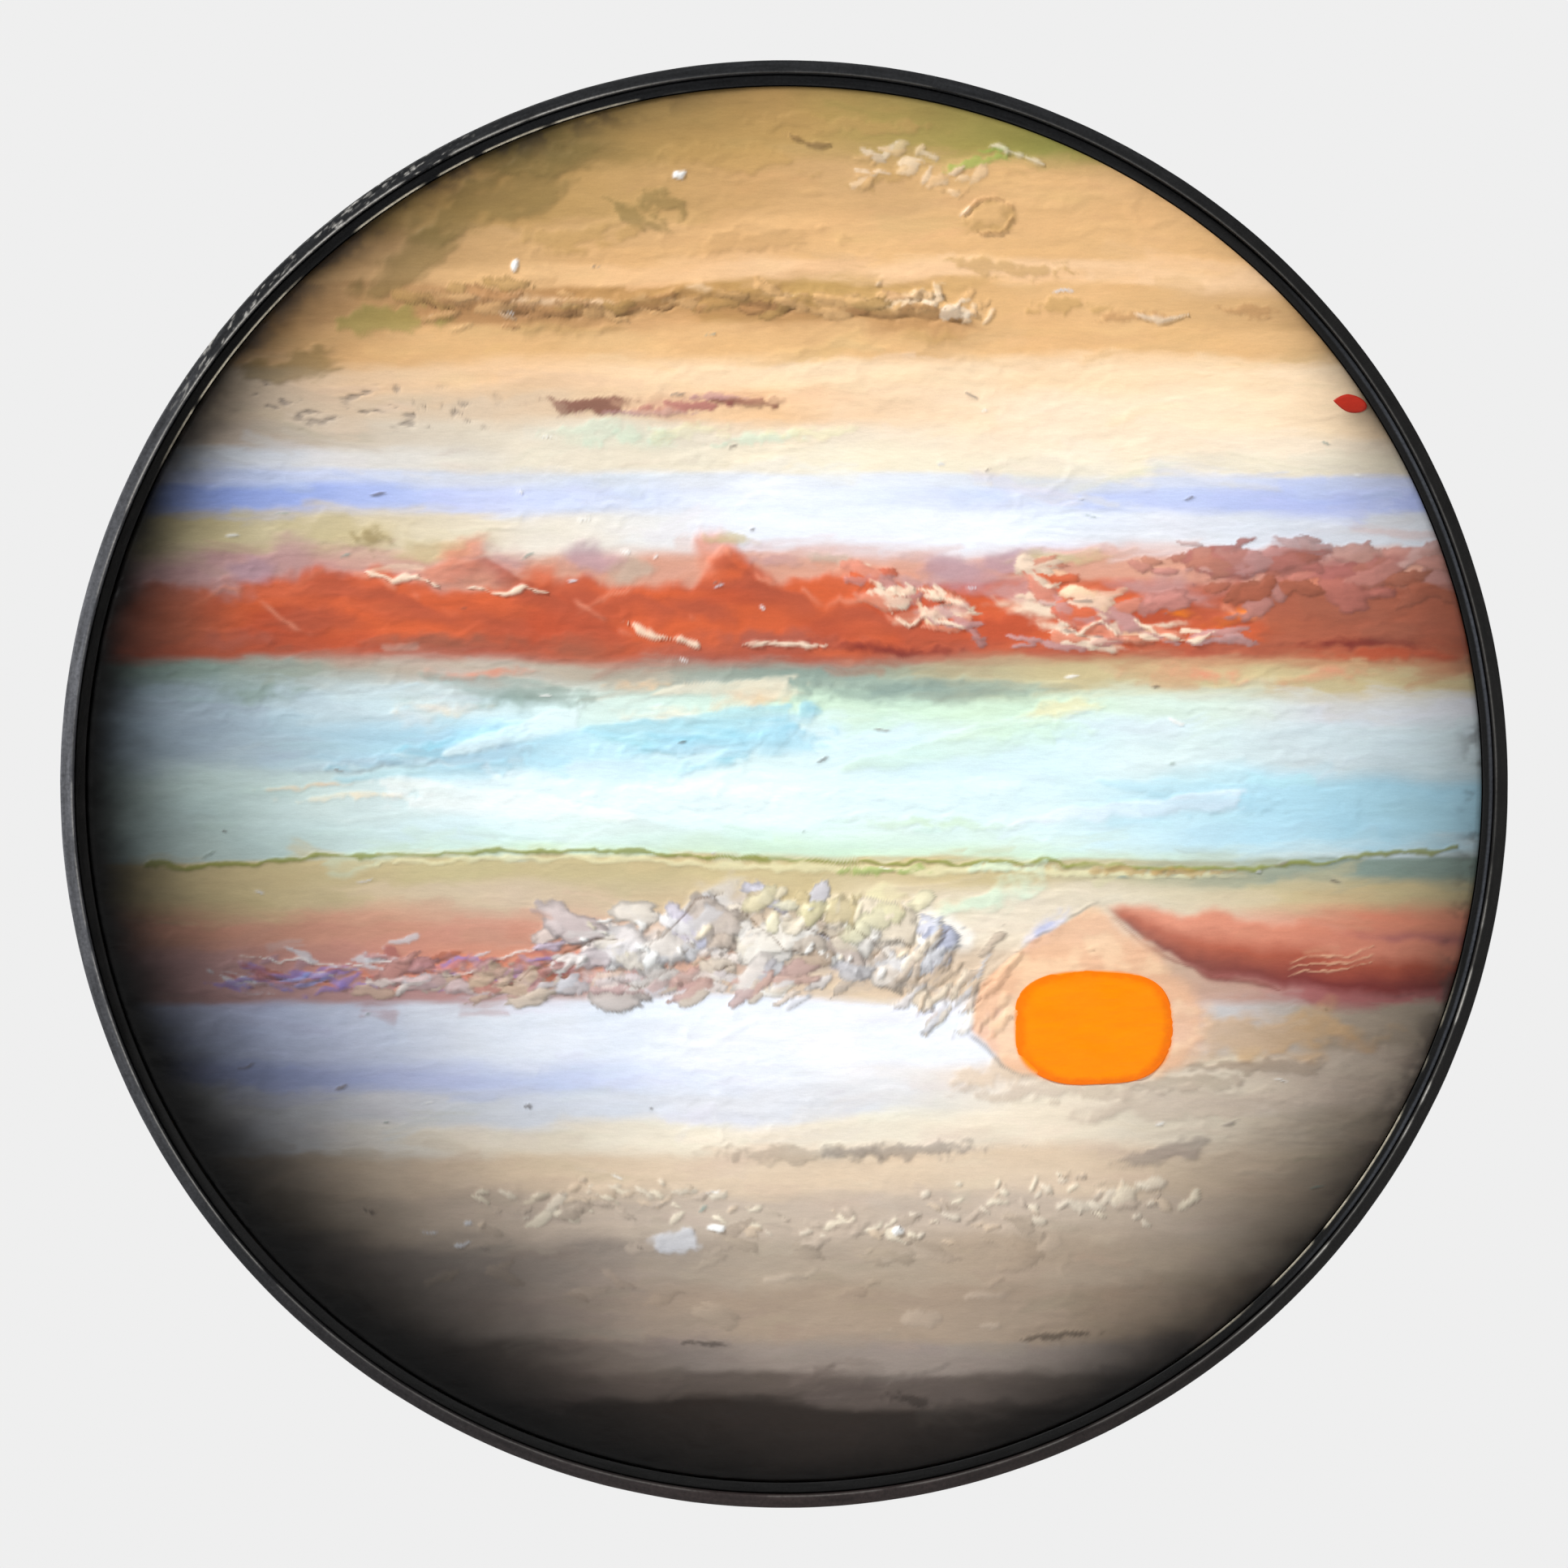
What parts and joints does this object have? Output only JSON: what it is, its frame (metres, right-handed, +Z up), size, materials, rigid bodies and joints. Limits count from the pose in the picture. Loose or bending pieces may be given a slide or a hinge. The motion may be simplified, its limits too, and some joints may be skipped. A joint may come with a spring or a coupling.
{
  "type": "framed round painting",
  "caption": "Round wall picture in thick banded paint on a cradled plywood panel, in a thin black hoop frame with D-ring hangers on the back.",
  "frame": {"origin": "centre of the round picture, in the wall plane that the bumpers' backs touch", "axes": "+Y into the wall, so the picture faces -Y; +Z up; +X to the viewer's right"},
  "size_m": [0.6216, 0.0463, 0.6216],
  "materials": {
    "black_paint": "matt black brush-painted wood, worn along the edges",
    "slip_paint": "deep matt black brush-painted wood",
    "bare_wood": "planed, unfinished pine",
    "plywood": "sanded birch plywood",
    "gesso": "chalky cream primer",
    "impasto_paint": "satin thick paint in bands of many colours",
    "orange_paint": "satin thick orange paint",
    "red_paint": "satin thick red paint",
    "zinc_steel": "zinc plated",
    "nickel_steel": "nickel plated, satin",
    "rubber": "matt black moulded rubber"
  },
  "bodies": {
    "picture": {"outer_hoop": "black_paint", "base_ring": "black_paint", "slip_hoop": "slip_paint", "cradle_hoop": "bare_wood", "cradle_brace_upright": "bare_wood", "cradle_brace_left": "bare_wood", "cradle_brace_right": "bare_wood", "panel_board": "plywood", "gesso_ground": "gesso", "paint_layer": "impasto_paint", "orange_spot_paint": "orange_paint", "red_dab_paint": "red_paint", "panel_screw_01": "zinc_steel", "panel_screw_02": "zinc_steel", "panel_screw_03": "zinc_steel", "panel_screw_04": "zinc_steel", "panel_screw_05": "zinc_steel", "panel_screw_06": "zinc_steel", "panel_screw_07": "zinc_steel", "panel_screw_08": "zinc_steel", "hoop_brad_01": "zinc_steel", "hoop_brad_02": "zinc_steel", "hoop_brad_03": "zinc_steel", "hoop_brad_04": "zinc_steel", "hoop_brad_05": "zinc_steel", "hoop_brad_06": "zinc_steel", "hoop_brad_07": "zinc_steel", "hoop_brad_08": "zinc_steel", "strap_screw_left_1": "zinc_steel", "strap_screw_left_2": "zinc_steel", "strap_screw_right_1": "zinc_steel", "strap_screw_right_2": "zinc_steel", "hanger_strap_left": "nickel_steel", "hanger_strap_right": "nickel_steel", "bumper_01": "rubber", "bumper_02": "rubber", "bumper_03": "rubber", "bumper_04": "rubber"},
    "left_ring": {"hanger_ring_left": "nickel_steel"},
    "right_ring": {"hanger_ring_right": "nickel_steel"}
  },
  "joints": [
    {"name": "left_ring_pivot", "type": "hinge", "parent": "picture", "child": "left_ring", "pos_m": [-0.228, -0.0035, 0.1], "axis": [0, 0, 1], "range_deg": [0, 175]},
    {"name": "right_ring_pivot", "type": "hinge", "parent": "picture", "child": "right_ring", "pos_m": [0.228, -0.0035, 0.1], "axis": [0, 0, -1], "range_deg": [0, 175]}
  ]
}
